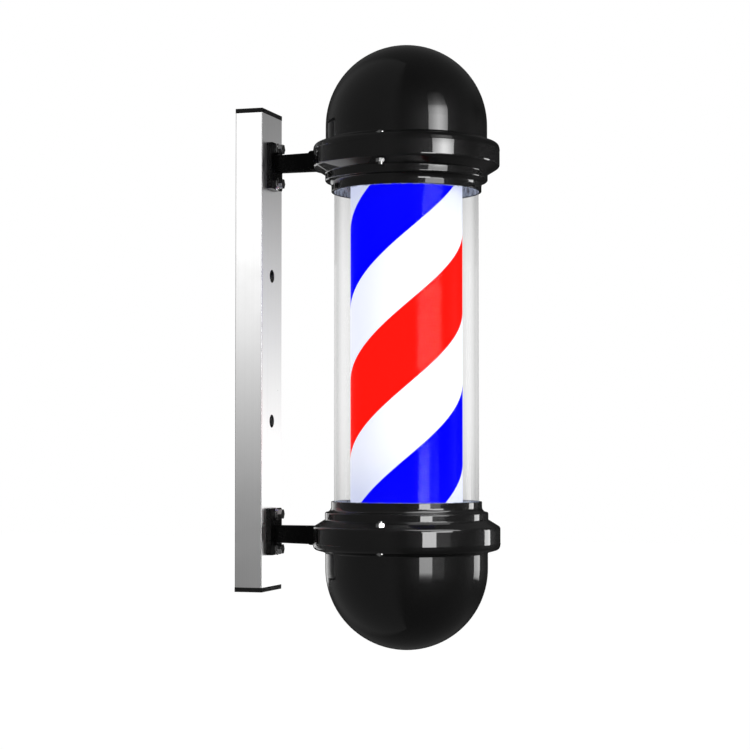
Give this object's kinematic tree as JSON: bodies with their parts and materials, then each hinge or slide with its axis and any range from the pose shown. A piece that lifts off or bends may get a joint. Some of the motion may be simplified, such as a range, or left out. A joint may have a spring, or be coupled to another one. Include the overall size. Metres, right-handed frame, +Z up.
{
  "type": "barber pole light",
  "caption": "Wall-mounted barber pole light: a lit drum with helical stripes turns inside a clear tube between domed caps, on two arms from a wall rail.",
  "frame": {"origin": "the rail's wall face, midway between the two wall screws", "axes": "+Z up along the pole, +Y into the wall, so the pole stands out towards -Y, and +X to the right for someone who faces the wall"},
  "size_m": [0.1618, 0.2299, 0.522],
  "materials": {
    "rail_aluminium": "polished",
    "black_plastic": "satin moulded",
    "black_rubber": "matt",
    "zinc_steel": "zinc plated",
    "screw_chrome": "polished",
    "arm_black": "satin",
    "gloss_black": "high gloss",
    "gasket_rubber": "soft",
    "clear_acrylic": "clear polished",
    "white_plastic": "moulded",
    "opal_acrylic": "opal, lit from inside",
    "stripe_print": "printed red, white and blue helical stripes, lit from inside",
    "post_aluminium": "mill finish",
    "strip_board": "solder mask",
    "light_chip": "phosphor",
    "driver_case": "moulded",
    "terminal_brass": "plain",
    "lead_sheath": "sheathed"
  },
  "bodies": {
    "housing": {"arm_screws": "screw_chrome", "arm_spring_washers": "screw_chrome", "arm_washers": "screw_chrome", "clamp_bolts": "screw_chrome", "clamp_nuts": "screw_chrome", "clear_tube": "clear_acrylic", "driver_screws": "zinc_steel", "inlet_grommet": "black_rubber", "lamp_driver": "driver_case", "lamp_foot": "white_plastic", "lamp_foot_screws": "zinc_steel", "lamp_lead": "lead_sheath", "lamp_plate": "zinc_steel", "lamp_post": "post_aluminium", "lamp_post_cap": "white_plastic", "light_chips": "light_chip", "light_strips": "strip_board", "lower_arm": "arm_black", "lower_collar": "gloss_black", "lower_dome": "gloss_black", "lower_gasket": "gasket_rubber", "lower_ring": "gloss_black", "motor_gearbox": "zinc_steel", "motor_lead": "lead_sheath", "motor_plate": "zinc_steel", "motor_screws": "zinc_steel", "motor_stator": "zinc_steel", "plate_screws": "zinc_steel", "rail_cap_bottom": "black_plastic", "rail_cap_top": "black_plastic", "rivet_nuts": "zinc_steel", "saddle_screws": "zinc_steel", "strip_lead": "lead_sheath", "terminal_block": "white_plastic", "terminal_screws": "terminal_brass", "thrust_washer": "white_plastic", "upper_arm": "arm_black", "upper_collar": "gloss_black", "upper_dome": "gloss_black", "upper_gasket": "gasket_rubber", "upper_ring": "gloss_black", "wall_rail": "rail_aluminium"},
    "drum": {"drive_hub": "white_plastic", "drum_bottom_disc": "white_plastic", "drum_bush": "white_plastic", "drum_rim_pins": "zinc_steel", "drum_top_disc": "white_plastic", "drum_tube": "opal_acrylic", "hub_screws": "zinc_steel", "hub_set_screw": "zinc_steel", "motor_shaft": "zinc_steel", "stripe_film": "stripe_print"}
  },
  "joints": [
    {"name": "drum_spin", "type": "hinge", "parent": "housing", "child": "drum", "pos_m": [0, -0.149, 0], "axis": [0, 0, 1], "continuous": true}
  ]
}
